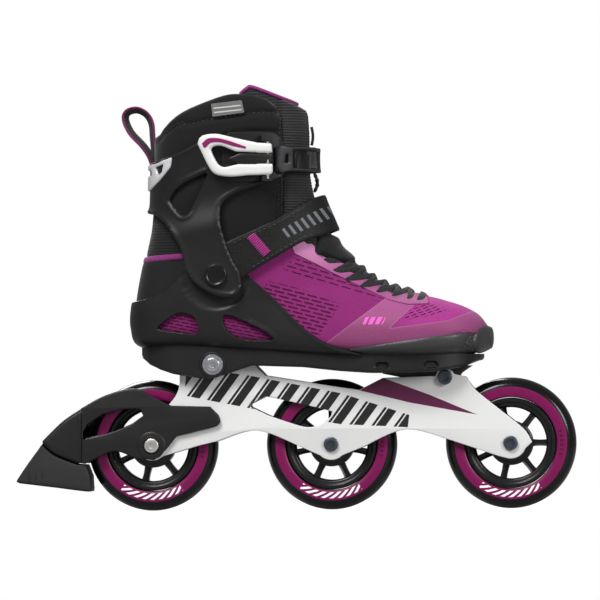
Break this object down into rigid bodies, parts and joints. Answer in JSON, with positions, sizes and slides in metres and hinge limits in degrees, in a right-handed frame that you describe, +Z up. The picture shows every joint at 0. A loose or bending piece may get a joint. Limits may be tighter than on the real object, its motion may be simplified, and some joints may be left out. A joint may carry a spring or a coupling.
{
  "type": "inline skate",
  "caption": "Soft-boot inline skate for the right foot: wheels in a metal rail, heel brake, pivoting cuff with buckle, instep strap and laces.",
  "frame": {"origin": "on the ground under the middle wheel's axle, in the skate's middle plane", "axes": "+X towards the toe, -Y towards the outer side of the foot (the buckle side), +Z up"},
  "size_m": [0.4282, 0.1138, 0.326],
  "materials": {
    "tyre": "gloss urethane tread with a purple band on each side",
    "hub": "moulded nylon",
    "bearing_steel": "ground steel",
    "bolt_steel": "dark plated steel",
    "rail_paint": null,
    "black_plastic": "satin black moulding",
    "white_plastic": "white moulding",
    "grey_plastic": "dark grey moulding",
    "rubber": "matt rubber",
    "purple_textile": "purple mesh",
    "film": "purple film",
    "black_textile": "black knit",
    "lace": "woven cord",
    "strap_leather": "stitched synthetic leather",
    "inlay": "purple inlay",
    "label": "grey woven label"
  },
  "bodies": {
    "boot": {"bearing_spacer_rear": "bearing_steel", "bearing_spacer_middle": "bearing_steel", "bearing_spacer_front": "bearing_steel", "axle_rear": "bolt_steel", "axle_middle": "bolt_steel", "axle_front": "bolt_steel", "mount_bolt_rear": "bolt_steel", "mount_bolt_front": "bolt_steel", "mount_nut_rear": "bolt_steel", "mount_nut_front": "bolt_steel", "mount_washer_rear": "bolt_steel", "brake_pad_screw": "bolt_steel", "cuff_rivet_outer_side": "bolt_steel", "cuff_rivet_inner_side": "bolt_steel", "rail": "rail_paint", "shell": "black_plastic", "brake_arm": "black_plastic", "instep_strap_ring": "black_plastic", "brake_pad": "rubber", "toe_rand": "rubber", "toe_bumper": "rubber", "heel_counter": "rubber", "heel_shock_pad": "rubber", "upper": "purple_textile", "lace_guide_outer_side": "film", "lace_guide_inner_side": "film", "tongue_lower": "black_textile", "footbed": "black_textile", "lace": "lace", "instep_strap": "strap_leather"},
    "wheel_rear": {"tyre_rear": "tyre", "hub_rear": "hub", "bearing_rear_outer_side": "bearing_steel", "bearing_rear_inner_side": "bearing_steel"},
    "wheel_middle": {"tyre_middle": "tyre", "hub_middle": "hub", "bearing_middle_outer_side": "bearing_steel", "bearing_middle_inner_side": "bearing_steel"},
    "wheel_front": {"tyre_front": "tyre", "hub_front": "hub", "bearing_front_outer_side": "bearing_steel", "bearing_front_inner_side": "bearing_steel"},
    "cuff": {"cuff": "black_plastic", "cuff_rear_insert": "white_plastic", "liner_collar": "black_textile", "tongue_upper": "black_textile", "collar_label": "label", "heel_pull_loop": "black_textile", "buckle_base": "black_plastic", "buckle_pin": "bolt_steel", "ladder_strap": "grey_plastic", "strap_catch": "grey_plastic", "ladder_strap_screw": "bolt_steel"},
    "buckle_lever": {"buckle_lever": "white_plastic", "buckle_lever_inlay": "inlay"},
    "release_tab": {"buckle_release_tab": "black_plastic"}
  },
  "joints": [
    {"name": "wheel_rear_spin", "type": "hinge", "parent": "boot", "child": "wheel_rear", "pos_m": [-0.13716, 0, 0.05], "axis": [0, 1, 0], "continuous": true},
    {"name": "wheel_middle_spin", "type": "hinge", "parent": "boot", "child": "wheel_middle", "pos_m": [0, 0, 0.05], "axis": [0, 1, 0], "continuous": true},
    {"name": "wheel_front_spin", "type": "hinge", "parent": "boot", "child": "wheel_front", "pos_m": [0.13716, 0, 0.05], "axis": [0, 1, 0], "continuous": true},
    {"name": "cuff_flex", "type": "hinge", "parent": "boot", "child": "cuff", "pos_m": [-0.0855, 0, 0.1795], "axis": [0, 1, 0], "range_deg": [-4, 8], "stiffness_Nm_per_rad": 40},
    {"name": "lever_open", "type": "hinge", "parent": "cuff", "child": "buckle_lever", "pos_m": [-0.045, -0.05119, 0.267], "axis": [0, 0, 1], "range_deg": [0, 100]},
    {"name": "release_tab_press", "type": "hinge", "parent": "cuff", "child": "release_tab", "pos_m": [-0.045, -0.05119, 0.267], "axis": [0, 0, 1], "range_deg": [0, 20], "stiffness_Nm_per_rad": 0.04}
  ]
}
